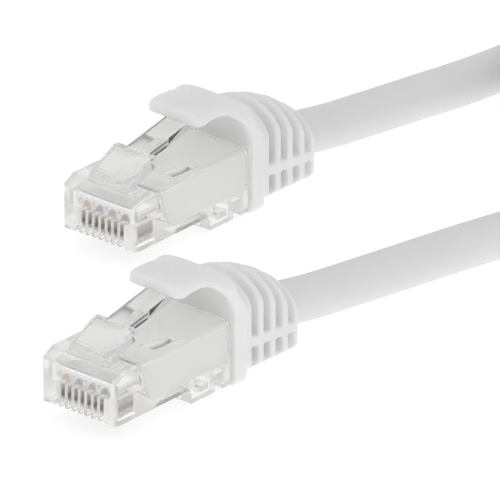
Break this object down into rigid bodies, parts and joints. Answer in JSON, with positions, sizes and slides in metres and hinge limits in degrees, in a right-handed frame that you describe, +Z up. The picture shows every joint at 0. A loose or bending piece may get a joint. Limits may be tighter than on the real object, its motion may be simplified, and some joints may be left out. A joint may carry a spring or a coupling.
{
  "type": "ethernet patch cable",
  "caption": "Round white patch cord with a clear modular plug on each end, in moulded boots whose hoods guard the latches; the spare cord is in a tied coil.",
  "frame": {"origin": "on the floor, under the middle of the box round the two plug ends; the free cord, its coil and its tie don't count", "axes": "+Y from the plugs' noses towards the cord, +X to the right of a plug seen from behind its nose with its latch up, +Z up"},
  "size_m": [0.0832, 0.1624, 0.0155],
  "materials": {
    "clear_plastic": "clear moulded polycarbonate, polished",
    "gold_contact": "gold-plated phosphor bronze",
    "wire_white_orange": "extruded polyethylene insulation",
    "wire_orange": "extruded polyethylene insulation",
    "wire_white_green": "extruded polyethylene insulation",
    "wire_blue": "extruded polyethylene insulation",
    "wire_white_blue": "extruded polyethylene insulation",
    "wire_green": "extruded polyethylene insulation",
    "wire_white_brown": "extruded polyethylene insulation",
    "wire_brown": "extruded polyethylene insulation",
    "white_mould": "white moulded filling inside the plug",
    "white_jacket": "satin extruded PVC",
    "white_boot": "satin moulded PVC",
    "white_tie": "ribbed white plastic ribbon"
  },
  "bodies": {
    "cable": {"plug_housing_a": "clear_plastic", "load_bar_a": "clear_plastic", "contact_a_1": "gold_contact", "contact_a_2": "gold_contact", "contact_a_3": "gold_contact", "contact_a_4": "gold_contact", "contact_a_5": "gold_contact", "contact_a_6": "gold_contact", "contact_a_7": "gold_contact", "contact_a_8": "gold_contact", "wire_a_1": "wire_white_orange", "wire_a_2": "wire_orange", "wire_a_3": "wire_white_green", "wire_a_4": "wire_blue", "wire_a_5": "wire_white_blue", "wire_a_6": "wire_green", "wire_a_7": "wire_white_brown", "wire_a_8": "wire_brown", "inner_mould_a": "white_mould", "jacket_end_a": "white_jacket", "boot_a": "white_boot", "plug_housing_b": "clear_plastic", "load_bar_b": "clear_plastic", "contact_b_1": "gold_contact", "contact_b_2": "gold_contact", "contact_b_3": "gold_contact", "contact_b_4": "gold_contact", "contact_b_5": "gold_contact", "contact_b_6": "gold_contact", "contact_b_7": "gold_contact", "contact_b_8": "gold_contact", "wire_b_1": "wire_white_orange", "wire_b_2": "wire_orange", "wire_b_3": "wire_white_green", "wire_b_4": "wire_blue", "wire_b_5": "wire_white_blue", "wire_b_6": "wire_green", "wire_b_7": "wire_white_brown", "wire_b_8": "wire_brown", "inner_mould_b": "white_mould", "jacket_end_b": "white_jacket", "boot_b": "white_boot", "cable_lead_a": "white_jacket", "cable_coil": "white_jacket", "cable_lead_b": "white_jacket", "cable_tie": "white_tie"},
    "latch_a_body": {"latch_a": "clear_plastic"},
    "hood_a_body": {"boot_hood_a": "white_boot"},
    "latch_b_body": {"latch_b": "clear_plastic"},
    "hood_b_body": {"boot_hood_b": "white_boot"}
  },
  "joints": [
    {"name": "hood_press_a", "type": "hinge", "parent": "cable", "child": "hood_a_body", "pos_m": [-0.01485, 0.0227, 0.0126], "axis": [1, 0, 0], "range_deg": [0, 16], "stiffness_Nm_per_rad": 0.02},
    {"name": "latch_press_a", "type": "hinge", "parent": "cable", "child": "latch_a_body", "pos_m": [-0.01485, 0.0035, 0.0092], "axis": [-1, 0, 0], "range_deg": [0, 8.7], "stiffness_Nm_per_rad": 0.01},
    {"name": "hood_press_b", "type": "hinge", "parent": "cable", "child": "hood_b_body", "pos_m": [0.01485, -0.0152, 0.0126], "axis": [1, 0, 0], "range_deg": [0, 16], "stiffness_Nm_per_rad": 0.02},
    {"name": "latch_press_b", "type": "hinge", "parent": "cable", "child": "latch_b_body", "pos_m": [0.01485, -0.0344, 0.0092], "axis": [-1, 0, 0], "range_deg": [0, 8.7], "stiffness_Nm_per_rad": 0.01}
  ],
  "couplings": [
    {"joint": "latch_press_a", "follows": "hood_press_a", "ratio": 0.5375},
    {"joint": "latch_press_b", "follows": "hood_press_b", "ratio": 0.5375}
  ]
}
